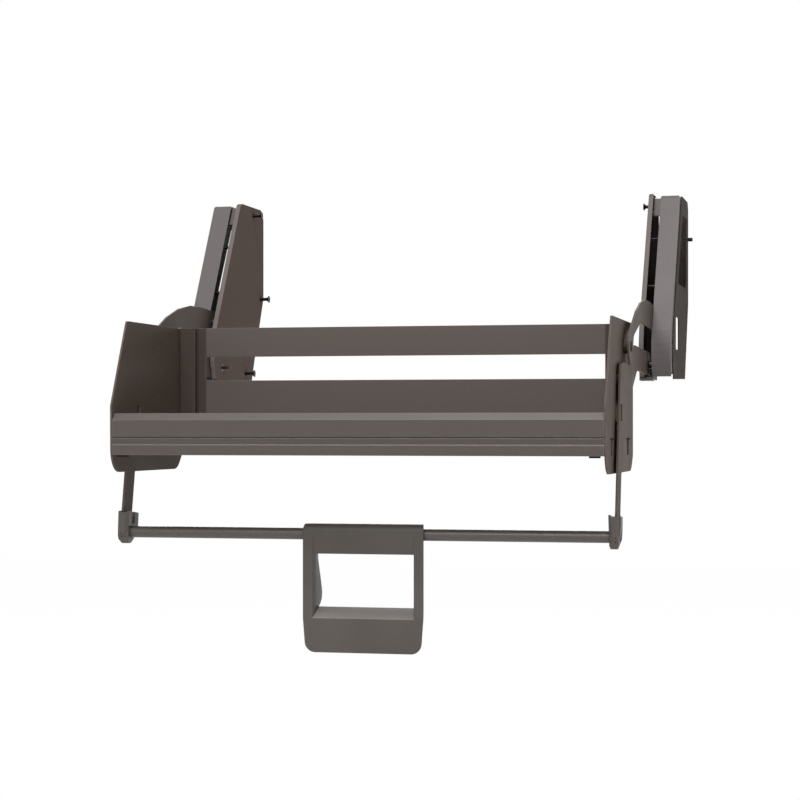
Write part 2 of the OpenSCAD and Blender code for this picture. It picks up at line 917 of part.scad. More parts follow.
module handle_body() {
    open = handle_w / 2 - 13.5;
    draft = 7;
    band = handle_top - 15.6;
    sill = handle_top - 111.8;
    lip = handle_top - 130.5;
    difference() {
        intersection() {
            translate([0, handle_front + far, 0]) rotate([90, 0, 0])
                linear_extrude(far) handle_front_view();
            sheet(-handle_w, 2 * handle_w) handle_side_view();
        }
        sheet(-open, 2 * open)
            polygon([
                [handle_front - 1, band],
                [handle_front + 2, band - 1.5],
                [handle_front + 2, handle_top - 41],
                [handle_front - 1, handle_top - 41]
            ]);
        intersection() {
            sheet(-open, 2 * open)
                polygon([
                    [handle_front - 1, handle_top - 41],
                    [far, handle_top - 41],
                    [far, sill],
                    [handle_front + handle_d - 3, sill],
                    [handle_front - 1, lip]
                ]);
            translate([0, 0, handle_bottom]) linear_extrude(handle_h)
                polygon([
                    [-open, handle_front - 1],
                    [open, handle_front - 1],
                    [open - draft, handle_front + handle_d],
                    [open - draft, far],
                    [draft - open, far],
                    [draft - open, handle_front + handle_d]
                ]);
        }
        round_x([bar_y, bar_z], -handle_w, 2 * handle_w, bar_d + 2 * pin_clearance);
    }
}

module handle_front_shell() {
    intersection() {
        handle_body();
        translate([-far, -far, -far]) cube([2 * far, far + bar_y - 0.02, 2 * far]);
    }
}

module handle_back_shell() {
    intersection() {
        handle_body();
        translate([-far, bar_y + 0.02, -far]) cube([2 * far, far, 2 * far]);
    }
}

module both() {
    side(-1) children();
    side(1) children();
}

color(mid) side(-1) inner_plate();  // inner_plate_left
color(mid) side(1) inner_plate();  // inner_plate_right
color(mid) side(-1) front_housing();  // front_housing_left
color(mid) side(1) front_housing();  // front_housing_right
color(mid) side(-1) mounting_plate();  // mounting_plate_left
color(mid) side(1) mounting_plate();  // mounting_plate_right
color(mid) side(-1) slot_block();  // slot_block_left
color(mid) side(1) slot_block();  // slot_block_right
color(mid) side(-1) slot_foot();  // slot_foot_left
color(mid) side(1) slot_foot();  // slot_foot_right
color(black) side(-1) arm_buffer();  // arm_buffer_left
color(black) side(1) arm_buffer();  // arm_buffer_right
color(dark) both() screw_sleeves();
color(steel) both() mounting_screws();
color(dark) both() locating_peg();  // locating_pegs
color(steel) both() slot_spacers();
color(steel) side(-1) upper_stud();  // upper_stud_left
color(steel) side(1) upper_stud();  // upper_stud_right
color(black) both() shaft_bush();  // shaft_bushes
color(black) side(-1) spring_cylinder();  // spring_cylinder_left
color(black) side(1) spring_cylinder();  // spring_cylinder_right
color(steel) both() spring_pin();  // spring_pins
color(mid) side(-1) lower_arm();  // lower_arm_left
color(mid) side(1) lower_arm();  // lower_arm_right
color(black) side(-1) lower_arm_bush();  // lower_arm_bush_left
color(black) side(1) lower_arm_bush();  // lower_arm_bush_right
color(steel) side(-1) lower_shaft();  // lower_shaft_left
color(steel) side(1) lower_shaft();  // lower_shaft_right
color(steel) side(-1) spring_cam();  // spring_cam_left
color(steel) side(1) spring_cam();  // spring_cam_right
color(mid) side(-1) upper_arm();  // upper_arm_left
color(mid) side(1) upper_arm();  // upper_arm_right
color(black) side(-1) upper_arm_bushes();  // upper_arm_bushes_left
color(black) side(1) upper_arm_bushes();  // upper_arm_bushes_right
color(steel) side(-1) spring_rod();  // spring_rod_left
color(steel) side(1) spring_rod();  // spring_rod_right
color(dark) side(-1) tray_panel();  // tray_panel_left
color(dark) side(1) tray_panel();  // tray_panel_right
color(mid) side(-1) carrier_plate();  // carrier_plate_left
color(mid) side(1) carrier_plate();  // carrier_plate_right
color(steel) both() plate_spacers();
color(steel) both() lower_tray_pin();  // lower_tray_pins
color(steel) both() upper_tray_pin();  // upper_tray_pins
color(dark) side(-1) corner_post();  // corner_post_left
color(dark) side(1) corner_post();  // corner_post_right
color(mid) side(1) front_rail();
color(black) side(1) rail_feet();
color(mid) side(1) back_rail();
color(dark) side(1) back_board();
color(dark) side(1) tray_floor();
color(mid) side(-1) bar_holder();  // bar_holder_left
color(mid) side(1) bar_holder();  // bar_holder_right
color(mid) side(1) hanging_bar();
color(dark) side(1) handle_front_shell();
color(dark) side(1) handle_back_shell();
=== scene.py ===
import bpy, math
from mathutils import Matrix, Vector


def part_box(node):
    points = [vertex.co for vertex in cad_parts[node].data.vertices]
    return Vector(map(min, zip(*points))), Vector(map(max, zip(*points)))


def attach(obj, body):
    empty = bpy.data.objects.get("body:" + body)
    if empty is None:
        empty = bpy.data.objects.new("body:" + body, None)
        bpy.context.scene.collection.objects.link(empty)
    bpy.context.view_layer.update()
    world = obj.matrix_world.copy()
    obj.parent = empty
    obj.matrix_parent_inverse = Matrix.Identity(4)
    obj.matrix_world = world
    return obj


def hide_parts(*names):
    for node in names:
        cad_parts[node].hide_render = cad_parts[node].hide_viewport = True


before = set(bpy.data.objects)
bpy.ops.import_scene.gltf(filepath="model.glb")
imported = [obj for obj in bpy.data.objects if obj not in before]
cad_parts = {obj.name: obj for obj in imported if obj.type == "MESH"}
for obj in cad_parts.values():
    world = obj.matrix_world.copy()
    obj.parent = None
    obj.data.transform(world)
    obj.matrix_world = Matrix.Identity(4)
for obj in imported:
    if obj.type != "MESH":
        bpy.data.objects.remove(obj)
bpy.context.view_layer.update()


# Camera. It stands level with the tray, to the right of it, as the photograph was taken, and a
# small lens shift puts the horizon where it is in the photograph.
camera_place = (0.6982, -3.1012, -0.030)
camera_turn = math.radians(12.947)
lens = bpy.data.cameras.new("camera")
lens.sensor_width = 36
lens.lens = 95.92
lens.shift_y = 0.03525
lens.clip_end = 50
camera = bpy.data.objects.new("camera", lens)
camera.location = camera_place
camera.rotation_euler = (math.radians(90), 0, camera_turn)
bpy.context.collection.objects.link(camera)
bpy.context.scene.camera = camera
bpy.context.scene.view_settings.view_transform = "Standard"


# Daylight of a plain studio. The world is even and soft where it lights the object, and pure white
# behind the object and in its reflections.
def to_linear(code):
    shares = [int(code[i:i + 2], 16) / 255 for i in (0, 2, 4)]
    return [s / 12.92 if s < 0.04045 else ((s + 0.055) / 1.055) ** 2.4 for s in shares] + [1]


def add(tree, kind, inputs=(), **settings):
    node = tree.nodes.new(kind)
    for name, value in settings.items():
        if name[0] == "_":
            node.inputs[name[1:].replace("_", " ")].default_value = value
        else:
            setattr(node, name, value)
    for socket, source in inputs:
        if isinstance(source, bpy.types.NodeSocket):
            tree.links.new(source, node.inputs[socket])
        else:
            node.inputs[socket].default_value = source
    return node


def seen_rays(tree):
    path = add(tree, "ShaderNodeLightPath")
    seen = path.outputs["Is Camera Ray"]
    for kind in ("Is Glossy Ray", "Is Transmission Ray"):
        total = add(tree, "ShaderNodeMath", [(0, seen), (1, path.outputs[kind])],
                    operation="ADD", use_clamp=True)
        seen = total.outputs[0]
    return seen


white = (1, 1, 1, 1)
daylight, daylight_strength = to_linear("f4f5f7"), 0.22
world = bpy.data.worlds.new("studio")
bpy.context.scene.world = world
world.use_nodes = True
air = world.node_tree
air.nodes.clear()
soft = add(air, "ShaderNodeBackground", _Color=daylight, _Strength=daylight_strength)
behind = add(air, "ShaderNodeBackground", _Color=white, _Strength=1.0)
blend = add(air, "ShaderNodeMixShader", [(0, seen_rays(air)), (1, soft.outputs[0]), (2, behind.outputs[0])])
add(air, "ShaderNodeOutputWorld", [("Surface", blend.outputs[0])])


# Lamps. Two broad ones from above and in front, so that the faces that look up are the lightest, a
# small one low on the right, a weak one on the left, and one behind that shows the back.
def softbox(name, place, aim, size, watts):
    lamp = bpy.data.lights.new(name, "AREA")
    lamp.shape = "RECTANGLE"
    lamp.size, lamp.size_y = size
    lamp.energy = watts
    box = bpy.data.objects.new(name, lamp)
    box.location = place
    box.rotation_euler = (Vector(aim) - Vector(place)).to_track_quat("-Z", "Y").to_euler()
    bpy.context.collection.objects.link(box)


softbox("key_light", place=(0.15, -1.5, 3.1), aim=(0, -0.1, 0), size=(2.2, 0.9), watts=108)
softbox("front_light", place=(0.3, -3.3, 2.1), aim=(0, 0, -0.1), size=(2.2, 0.8), watts=60)
softbox("side_light", place=(1.5, -0.55, 0.1), aim=(0.1, 0, 0.05), size=(0.8, 0.8), watts=2.5)
softbox("fill_light", place=(-1.8, -2.6, 0.2), aim=(-0.2, 0, 0), size=(1.8, 1.4), watts=5)
softbox("back_light", place=(-0.8, 3.4, 1.3), aim=(0, 0.2, 0), size=(2.4, 1.6), watts=40)


# Floor. A sheet of white paper far below the object. To the camera it is white, apart from the
# small share of its own matt surface that keeps the faint shadow.
def new_finish(name):
    finish = bpy.data.materials.new(name)
    finish.use_nodes = True
    finish.node_tree.nodes.clear()
    return finish, finish.node_tree


floor_size, floor_drop = 12, 0.62
white_share = 0.99
bpy.ops.object.select_all(action="DESELECT")
bpy.ops.mesh.primitive_plane_add(size=floor_size, location=(0, 0, -floor_drop))
floor = bpy.context.active_object
floor.name = "studio_floor"
bpy.ops.object.transform_apply(location=True, rotation=True, scale=True)
paper, sheet = new_finish("white_paper")
matt = add(sheet, "ShaderNodeBsdfDiffuse", _Color=to_linear("f2f2f2"))
glow = add(sheet, "ShaderNodeEmission", _Color=white, _Strength=1.0)
share = add(sheet, "ShaderNodeMath", [(0, seen_rays(sheet)), (1, white_share)], operation="MULTIPLY")
blend = add(sheet, "ShaderNodeMixShader", [(0, share.outputs[0]), (1, matt.outputs[0]), (2, glow.outputs[0])])
add(sheet, "ShaderNodeOutputMaterial", [("Surface", blend.outputs[0])])
floor.data.materials.append(paper)


# Inner plates of the two side units. Steel sheet of 2 mm, cut and folded to a flange along the
# front, then coated with polyester powder and baked: dull, with a fine orange peel.

# The powder speckles in two greys, drawn at about 1 mm, coarser than the real one, so that it shows.
# It is lighter on its rounded edges, where the rim colour is a painted highlight, and darker in a
# corner, a painted shade. On the chosen side, 1 for the face away from the lift's middle and -1 for
# the face towards it, a dark colour is a painted shade, and fold is the colour of the faces folded towards
# the room.
def powder_coat(name, colour, shade, rough, grain_mm=1.6, peel_depth=0.12, shine=0.12, rim_highlight="8b8682",
                painted_shade_side=0, painted_shade_colour=None, fold=None):
    rim_width, corner_reach, peel_height = 0.0011, 0.005, 0.0001
    speckle_finer, clouds_per_metre, rough_drift = 1.7, 11.0, 0.05
    finish, tree = new_finish(name)
    place = add(tree, "ShaderNodeTexCoord").outputs["Object"]
    surface = add(tree, "ShaderNodeNewGeometry")
    rounded = add(tree, "ShaderNodeBevel", samples=4, _Radius=rim_width).outputs[0]
    peel = add(tree, "ShaderNodeTexNoise", [("Vector", place)],
               _Scale=1000 / grain_mm, _Detail=2.0, _Roughness=0.5)
    speckle = add(tree, "ShaderNodeTexNoise", [("Vector", place)],
                  _Scale=1000 / grain_mm * speckle_finer, _Detail=1.0, _Roughness=0.6)
    cloud = add(tree, "ShaderNodeTexNoise", [("Vector", place)],
                _Scale=clouds_per_metre, _Detail=3.0, _Roughness=0.55)
    grain = add(tree, "ShaderNodeValToRGB", [("Fac", speckle.outputs["Fac"])])
    for stop, position, code in zip(grain.color_ramp.elements, (0.38, 0.62), (shade, colour)):
        stop.position = position
        stop.color = to_linear(code)
    # Painted highlight: where the rounded edge's normal leans off the face, the colour turns to the light rim
    # colour.
    along = add(tree, "ShaderNodeVectorMath", [(0, rounded), (1, surface.outputs["Normal"])],
                operation="DOT_PRODUCT")
    rim_highlight_share = add(tree, "ShaderNodeMapRange", [("Value", along.outputs["Value"])],
               _From_Min=0.985, _From_Max=0.86, _To_Min=0.0, _To_Max=0.70)
    skin = add(tree, "ShaderNodeMix",
               [(0, rim_highlight_share.outputs[0]), (6, grain.outputs["Color"]), (7, to_linear(rim_highlight))], data_type="RGBA")
    # Painted shade: the faces on the chosen side take the dark colour, for the shade inside the unit.
    if painted_shade_side:
        across = add(tree, "ShaderNodeSeparateXYZ", [("Vector", place)])
        facing = add(tree, "ShaderNodeSeparateXYZ", [("Vector", surface.outputs["True Normal"])])
        hand = add(tree, "ShaderNodeMath", [(0, across.outputs["X"])], operation="SIGN")
        outward = add(tree, "ShaderNodeMath", [(0, facing.outputs["X"]), (1, hand.outputs[0])],
                      operation="MULTIPLY")
        hidden = add(tree, "ShaderNodeMath", [(0, outward.outputs[0]), (1, painted_shade_side)], operation="MULTIPLY")
        painted_shade_share = add(tree, "ShaderNodeMapRange", [("Value", hidden.outputs[0])],
                   _From_Min=0.6, _From_Max=0.9, _To_Min=0.0, _To_Max=1.0)
        skin = add(tree, "ShaderNodeMix",
                   [(0, painted_shade_share.outputs[0]), (6, skin.outputs[2]), (7, to_linear(painted_shade_colour))], data_type="RGBA")
        if fold:
            front = add(tree, "ShaderNodeMapRange", [("Value", facing.outputs["Y"])],
                        _From_Min=-0.7, _From_Max=-0.9, _To_Min=0.0, _To_Max=1.0)
            skin = add(tree, "ShaderNodeMix",
                       [(0, front.outputs[0]), (6, skin.outputs[2]), (7, to_linear(fold))], data_type="RGBA")
    # Painted shade: the ambient occlusion darkens the colour in corners and seams, where shade falls.
    corner = add(tree, "ShaderNodeAmbientOcclusion", samples=6, _Distance=corner_reach)
    corner_shade = add(tree, "ShaderNodeMapRange", [("Value", corner.outputs["AO"])],
               _From_Min=0.25, _From_Max=0.85, _To_Min=0.30, _To_Max=1.0)
    corner_shaded_colour = add(tree, "ShaderNodeMix", [(0, 1.0), (6, skin.outputs[2]), (7, corner_shade.outputs[0])],
                data_type="RGBA", blend_type="MULTIPLY")
    drift = add(tree, "ShaderNodeMapRange", [("Value", cloud.outputs["Fac"])],
                _From_Min=0.3, _From_Max=0.7, _To_Min=rough - rough_drift, _To_Max=rough + rough_drift)
    bumps = add(tree, "ShaderNodeBump", [("Height", peel.outputs["Fac"]), ("Normal", rounded)],
                _Strength=peel_depth, _Distance=peel_height)
    body = add(tree, "ShaderNodeBsdfPrincipled",
               [("Base Color", corner_shaded_colour.outputs[2]), ("Roughness", drift.outputs[0]),
                ("Normal", bumps.outputs[0])], _IOR=1.5, _Specular_IOR_Level=shine)
    add(tree, "ShaderNodeOutputMaterial", [("Surface", body.outputs[0])])
    return finish


def finished(finish, *nodes):
    for name in nodes:
        piece = bpy.data.objects[name]
        piece.data.materials.clear()
        piece.data.materials.append(finish)


# The faces away from the lift's middle, inside the unit, are painted dark, a painted shade.
plate_coat = powder_coat("powder_coat_brown_grey", "6b6059", "655a54", rough=0.55, shine=0.0,
                         painted_shade_side=1, painted_shade_colour="2b2624", fold="6b6663")
finished(plate_coat, "inner_plate_left", "inner_plate_right")


# Front housings. A folded channel of 1.5 mm steel over the spring, in the lighter, satin coat of
# the face that is seen from the room.
# The faces towards the lift's middle, the walls of the arm slot, are painted dark, a painted shade.
face_coat = powder_coat("powder_coat_satin_grey", "615c5b", "5c5756", rough=0.42,
                        painted_shade_side=-1, painted_shade_colour="1d1a18")
finished(face_coat, "front_housing_left", "front_housing_right")


# Mounting plates. The outer steel sheet of 2 mm that lies on the wardrobe side. It is not seen in
# use and has a darker and duller coat.
back_coat = powder_coat("powder_coat_dark_dull", "48413d", "423c38", rough=0.65, shine=0.02, rim_highlight="5a5451")
finished(back_coat, "mounting_plate_left", "mounting_plate_right")


# Blocks and shoes that close the arm slots, and the bushes of the lower shafts. Moulded in grey and
# in black nylon and pushed between the walls: a dull plastic with a spark-eroded grain, which is
# drawn at nearly 1 mm, coarser than the real one, so that it shows.
def moulded(name, colour, shade, rough, grain_mm, grain_depth, ior, shine=0.3):
    rim_width, grain_height = 0.0008, 0.0001
    fine_share, flows_per_metre, gloss_drift = 2.5, 16.0, 0.06
    finish, tree = new_finish(name)
    place = add(tree, "ShaderNodeTexCoord").outputs["Object"]
    rounded = add(tree, "ShaderNodeBevel", samples=4, _Radius=rim_width).outputs[0]
    grain = add(tree, "ShaderNodeTexVoronoi", [("Vector", place)], _Scale=1000 / grain_mm)
    fine = add(tree, "ShaderNodeTexNoise", [("Vector", place)],
               _Scale=1000 * fine_share / grain_mm, _Detail=2.0)
    flow = add(tree, "ShaderNodeTexNoise", [("Vector", place)], _Scale=flows_per_metre, _Detail=2.0)
    tone = add(tree, "ShaderNodeValToRGB", [("Fac", flow.outputs["Fac"])])
    for stop, position, code in zip(tone.color_ramp.elements, (0.35, 0.65), (shade, colour)):
        stop.position = position
        stop.color = to_linear(code)
    height = add(tree, "ShaderNodeMath", [(0, grain.outputs["Distance"]), (1, fine.outputs["Fac"])],
                 operation="ADD")
    bumps = add(tree, "ShaderNodeBump", [("Height", height.outputs[0]), ("Normal", rounded)],
                _Strength=grain_depth, _Distance=grain_height)
    gloss = add(tree, "ShaderNodeMapRange", [("Value", fine.outputs["Fac"])],
                _From_Min=0.3, _From_Max=0.7, _To_Min=rough - gloss_drift, _To_Max=rough + gloss_drift)
    body = add(tree, "ShaderNodeBsdfPrincipled",
               [("Base Color", tone.outputs["Color"]), ("Roughness", gloss.outputs[0]),
                ("Normal", bumps.outputs[0])], _IOR=ior, _Specular_IOR_Level=shine)
    add(tree, "ShaderNodeOutputMaterial", [("Surface", body.outputs[0])])
    return finish


grey_nylon = moulded("moulded_grey_nylon", "5a5552", "54504d", rough=0.5, grain_mm=0.9, grain_depth=0.2,
                     ior=1.53, shine=0.15)
black_nylon = moulded("moulded_black_nylon", "1d1a18", "181514", rough=0.55, grain_mm=0.9, grain_depth=0.2,
                      ior=1.53, shine=0.15)
finished(grey_nylon, "slot_block_left", "slot_block_right", "slot_foot_left", "slot_foot_right")
finished(black_nylon, "shaft_bushes")


# Buffers under the lower arms. Small pads of black rubber, dull and slightly chalky.
rubber = moulded("black_rubber_pad", "1f1d1c", "191817", rough=0.8, grain_mm=0.6, grain_depth=0.3, ior=1.52)
finished(rubber, "arm_buffer_left", "arm_buffer_right")


# Upper studs. Turned from bright steel and plated with black zinc: a dark metal with faint turning
# rings, which are drawn a few millimetres apart, coarser than the real ones, so that they show.
def plated_steel(name, colour, shade, rough, ring_mm):
    # The wave node runs through this many radians in one unit at scale 1.
    wave_radians = 20
    ring_depth, ring_height, blooms_per_metre = 0.15, 0.00005, 120.0
    finish, tree = new_finish(name)
    place = add(tree, "ShaderNodeTexCoord").outputs["Object"]
    rings = add(tree, "ShaderNodeTexWave", [("Vector", place)], wave_type="BANDS", bands_direction="X",
                _Scale=1000 * 2 * math.pi / (wave_radians * ring_mm), _Distortion=1.5, _Detail=2.0)
    bloom = add(tree, "ShaderNodeTexNoise", [("Vector", place)], _Scale=blooms_per_metre, _Detail=3.0)
    tone = add(tree, "ShaderNodeValToRGB", [("Fac", bloom.outputs["Fac"])])
    for stop, position, code in zip(tone.color_ramp.elements, (0.35, 0.65), (shade, colour)):
        stop.position = position
        stop.color = to_linear(code)
    turned = add(tree, "ShaderNodeBump", [("Height", rings.outputs["Fac"])],
                 _Strength=ring_depth, _Distance=ring_height)
    haze = add(tree, "ShaderNodeMapRange", [("Value", bloom.outputs["Fac"])],
               _From_Min=0.3, _From_Max=0.7, _To_Min=rough - 0.06, _To_Max=rough + 0.08)
    body = add(tree, "ShaderNodeBsdfPrincipled",
               [("Base Color", tone.outputs["Color"]), ("Roughness", haze.outputs[0]),
                ("Normal", turned.outputs[0])], _Metallic=1.0)
    add(tree, "ShaderNodeOutputMaterial", [("Surface", body.outputs[0])])
    return finish


zinc_plate = plated_steel("black_zinc_turned_steel", "4a4644", "3f3b39", rough=0.38, ring_mm=2.5)
finished(zinc_plate, "upper_stud_left", "upper_stud_right")


# Screws, sleeves, pegs and the pins across the slots. Hardened steel with a black oxide, slightly
# oily and uneven.
black_oxide = plated_steel("black_oxide_steel", "2c2a28", "201f1e", rough=0.42, ring_mm=3.1)
finished(black_oxide, "screw_sleeves", "mounting_screws", "locating_pegs", "slot_spacers")


# Gas springs. A drawn steel tube painted satin black, with a black nitrided rod that the cam on
# the lower shaft presses in as the tray comes down.
spring_paint = powder_coat("satin_black_paint", "242220", "1f1d1c", rough=0.35, grain_mm=1.2,
                           peel_depth=0.06, shine=0.02, rim_highlight="3a3735")
nitrided_rod = plated_steel("black_nitrided_rod", "34312f", "2b2927", rough=0.25, ring_mm=1.9)
finished(spring_paint, "spring_cylinder_left", "spring_cylinder_right")
finished(nitrided_rod, "spring_rod_left", "spring_rod_right")
finished(zinc_plate, "spring_pins", "spring_cam_left", "spring_cam_right")
finished(zinc_plate, "lower_shaft_left", "lower_shaft_right")


# Arms. Goose-neck blanks laser cut from 2.8 mm steel and powder coated, with plain bushes of
# black nylon pressed into their eyes.
arm_coat = powder_coat("powder_coat_arm_grey", "564c45", "514741", rough=0.42, shine=0.03)
finished(arm_coat, "lower_arm_left", "lower_arm_right", "upper_arm_left", "upper_arm_right")
finished(black_nylon, "lower_arm_bush_left", "lower_arm_bush_right")
finished(black_nylon, "upper_arm_bushes_left", "upper_arm_bushes_right")


# Tray side panels and carrier plates. Steel sheet, punched and powder coated; the carrier plate
# stands off the panel on three collared rivets and runs on down as the hanger arm.
tray_coat = powder_coat("powder_coat_warm_grey", "594e47", "544a43", rough=0.46, shine=0.02)
finished(tray_coat, "tray_panel_left", "tray_panel_right", "carrier_plate_left", "carrier_plate_right")
finished(tray_coat, "plate_spacers", "lower_tray_pins", "upper_tray_pins")


# Corner posts, back rail, back board and floor. Thin folded sheet, riveted to the side panels and
# coated in the tray's grey; the posts are painted darker, a painted shade of the tray's rear corners, and the
# back rail and board lighter, painted light for the light that falls on the back.
shaded_post_coat = powder_coat("powder_coat_post_painted_shade", "48403b", "433b36", rough=0.5, shine=0.05)
lit_back_rail_coat = powder_coat("powder_coat_back_rail_painted_light", "605853", "5a524e", rough=0.42)
finished(shaded_post_coat, "corner_post_left", "corner_post_right")
finished(tray_coat, "tray_floor")
finished(lit_back_rail_coat, "back_rail", "back_board")


# Front rail. A drawn aluminium section with a chamfered top edge and a groove along its face,
# powder coated; two black rubber feet sit under its ends.
# Its light rim colour is a painted highlight along the rail's edges.
rail_coat = powder_coat("powder_coat_rail_grey", "4e4743", "4a433f", rough=0.42, shine=0.3, rim_highlight="a39e9b")
finished(rail_coat, "front_rail")
finished(rubber, "rail_feet")


# Hanging bar. Welded steel tube of 16 mm, powder coated in the tray's grey, smoother than sheet.
bar_coat = powder_coat("powder_coat_on_tube", "514a45", "4c4641", rough=0.38, peel_depth=0.02, shine=0.5)
finished(bar_coat, "hanging_bar")


# Bar holders. Moulded in grey ABS with a fine matt grain, slipped up over the hanger arms. Their
# inner front corner is cut off in two steps, and the flanks are hollowed between two prongs.
def only(piece):
    bpy.ops.object.select_all(action="DESELECT")
    piece.select_set(True)
    bpy.context.view_layer.objects.active = piece


def shape(piece, kind, test, tool, **settings):
    only(piece)
    spots, edges, faces = piece.data.vertices, piece.data.edges, piece.data.polygons
    for part in (spots, edges, faces):
        part.foreach_set("select", [False] * len(part))
    if kind == "VERT":
        for spot in spots:
            spot.select = test(spot.co)
    elif kind == "EDGE":
        for edge in edges:
            edge.select = test(*[spots[k].co for k in edge.vertices])
    else:
        for face in faces:
            face.select = test(face.center)
    bpy.context.tool_settings.mesh_select_mode = (kind == "VERT", kind == "EDGE", kind == "FACE")
    bpy.ops.object.mode_set(mode="EDIT")
    tool(**settings)
    bpy.ops.object.mode_set(mode="OBJECT")


def every(centre):
    return True


def near(value, target, slack=0.0003):
    return abs(value - target) < slack


def thicken(piece, by):
    shape(piece, "FACE", every, bpy.ops.mesh.extrude_region_move, TRANSFORM_OT_translate={"value": by})
    shape(piece, "FACE", every, bpy.ops.mesh.normals_make_consistent, inside=False)


def cut_away(piece, tool):
    only(piece)
    cut = piece.modifiers.new("cut", "BOOLEAN")
    cut.object = tool
    cut.operation = "DIFFERENCE"
    cut.solver = "MANIFOLD"
    bpy.ops.object.modifier_apply(modifier="cut")
    bpy.data.objects.remove(tool)
    bpy.ops.object.shade_smooth_by_angle(angle=math.radians(32))


def bore(piece, centre, radius, length):
    bpy.ops.object.select_all(action="DESELECT")
    bpy.ops.mesh.primitive_cylinder_add(vertices=64, radius=radius, depth=length, location=centre,
                                        rotation=(0, math.pi / 2, 0))
    rod = bpy.context.active_object
    bpy.ops.object.transform_apply(location=True, rotation=True, scale=True)
    cut_away(piece, rod)


def notch(piece, low, high, radius):
    bpy.ops.object.select_all(action="DESELECT")
    bpy.ops.mesh.primitive_cube_add(size=1, location=[(a + b) / 2 for a, b in zip(low, high)])
    block = bpy.context.active_object
    block.scale = [abs(b - a) for a, b in zip(low, high)]
    bpy.ops.object.transform_apply(location=True, rotation=True, scale=True)
    shape(block, "FACE", every, bpy.ops.mesh.bevel, offset=radius, segments=3, affect="EDGES")
    cut_away(piece, block)


grey_abs = moulded("moulded_grey_abs", "58534f", "544f4b", rough=0.36, grain_mm=0.8, grain_depth=0.12,
                   ior=1.54, shine=0.12)
bar_low, bar_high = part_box("hanging_bar")
bar_centre = (0, (bar_low[1] + bar_high[1]) / 2, (bar_low[2] + bar_high[2]) / 2)
bar_play = 0.00005
bore_radius = (bar_high[2] - bar_low[2]) / 2 + bar_play
bar_in_holder = 0.02
spot_on = 0.00005
foot_taper, foot_height = 0.64, 0.0035
corner_cuts, cut_start = ((0.0050, 0.0018), (0.0018, 0.0050)), 0.0012
# A saddle runs along the crown, a hollow down the outer flank and a slit down the inner one. Each is
# given by its depth into the holder and its reach from the face, and the blocks that cut it run past.
saddle_wall, saddle_depth, saddle_end = 0.0030, 0.0022, 0.06
hollow_depth, hollow_start, hollow_end, hollow_foot = 0.0019, 0.0008, 0.0200, 0.0120
slit_depth, slit_start, slit_end, slit_foot = 0.0088, 0.0170, 0.0275, 0.0265
past = 0.01
for side, hand in (("left", -1), ("right", 1)):
    low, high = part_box("bar_holder_" + side)
    inner, outer = (high[0], low[0]) if hand < 0 else (low[0], high[0])
    face, crown, foot = low[1], high[2], low[2]
    # Each corner of the side outline has a depth, a height and the radius that rounds it.
    corners = [
        (face + 0.0004, crown, 0.0015),
        (face - 0.0026, foot + 0.0100, 0.0050),
        (face + 0.0050, foot, 0.0028),
        (face + 0.0200, foot, 0.0040),
        (face + 0.0390, foot + 0.0175, 0.0090),
        (face + 0.0420, crown - 0.0045, 0.0020),
    ]
    bpy.ops.object.select_all(action="DESELECT")
    bpy.ops.mesh.primitive_circle_add(vertices=len(corners), radius=0.02, fill_type="NGON")
    clip = bpy.context.active_object
    clip.name = "bar_clip_" + side
    for spot, (y, z, radius) in zip(clip.data.vertices, corners):
        spot.co = (inner, y, z)
    for y, z, radius in corners:
        shape(clip, "VERT", lambda c: near(c.y, y, spot_on) and near(c.z, z, spot_on),
              bpy.ops.mesh.bevel, offset=radius, segments=6, affect="VERTICES")
    thicken(clip, (outer - inner, 0, 0))
    shape(clip, "VERT", lambda c: c.z < foot + foot_height,
          bpy.ops.transform.resize, value=(foot_taper, 1, 1), center_override=((inner + outer) / 2, 0, 0))
    for across, back in corner_cuts:
        shape(clip, "FACE", every, bpy.ops.mesh.bisect, plane_co=(inner + hand * across, face - cut_start, 0),
              plane_no=(-hand / across, -1 / back, 0), use_fill=True, clear_outer=True)
    notch(clip, (inner + hand * saddle_wall, face - past, crown - saddle_depth),
          (outer - hand * saddle_wall, face + saddle_end, crown + past), radius=0.0009)
    notch(clip, (outer - hand * hollow_depth, face + hollow_start, foot + hollow_foot),
          (outer + hand * past, face + hollow_end, crown + past), radius=0.0008)
    notch(clip, (inner - hand * past, face + slit_start, foot + slit_foot),
          (inner + hand * slit_depth, face + slit_end, crown + past), radius=0.0008)
    arm = bpy.data.objects.new("arm_tool", bpy.data.objects["carrier_plate_" + side].data.copy())
    bpy.context.collection.objects.link(arm)
    shape(arm, "FACE", every, bpy.ops.mesh.remove_doubles, threshold=0.000001)
    cut_away(clip, arm)
    bore(clip, (hand * (bar_high[0] - bar_in_holder), bar_centre[1], bar_centre[2]),
         bore_radius, 2 * bar_in_holder)
    finished(grey_abs, clip.name)
    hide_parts("bar_holder_" + side)
    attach(clip, "tray")


# Pull handle. Two shells moulded in the same grey ABS and screwed together round the bar. The front
# shell wraps over the bar, has a shallow wedge-shaped band below it and a sloping sill; the back
# one swells out behind the fingers and is drafted inwards, so it cannot be seen from the front.
def shell_blank(name, columns, rows, front):
    bpy.ops.object.select_all(action="DESELECT")
    bpy.ops.mesh.primitive_grid_add(x_subdivisions=len(columns) - 1, y_subdivisions=len(rows) - 1, size=2)
    piece = bpy.context.active_object
    piece.name = name
    for spot in piece.data.vertices:
        column = round((spot.co.x + 1) / 2 * (len(columns) - 1))
        row = round((spot.co.y + 1) / 2 * (len(rows) - 1))
        spot.co = (columns[column], front, rows[row])
    shape(piece, "FACE", lambda c: near(c.x, 0) and rows[1] < c.z <= rows[-3],
          bpy.ops.mesh.delete, type="FACE")
    return piece


def shift(piece, test, by):
    shape(piece, "VERT", test, bpy.ops.transform.translate, value=by)


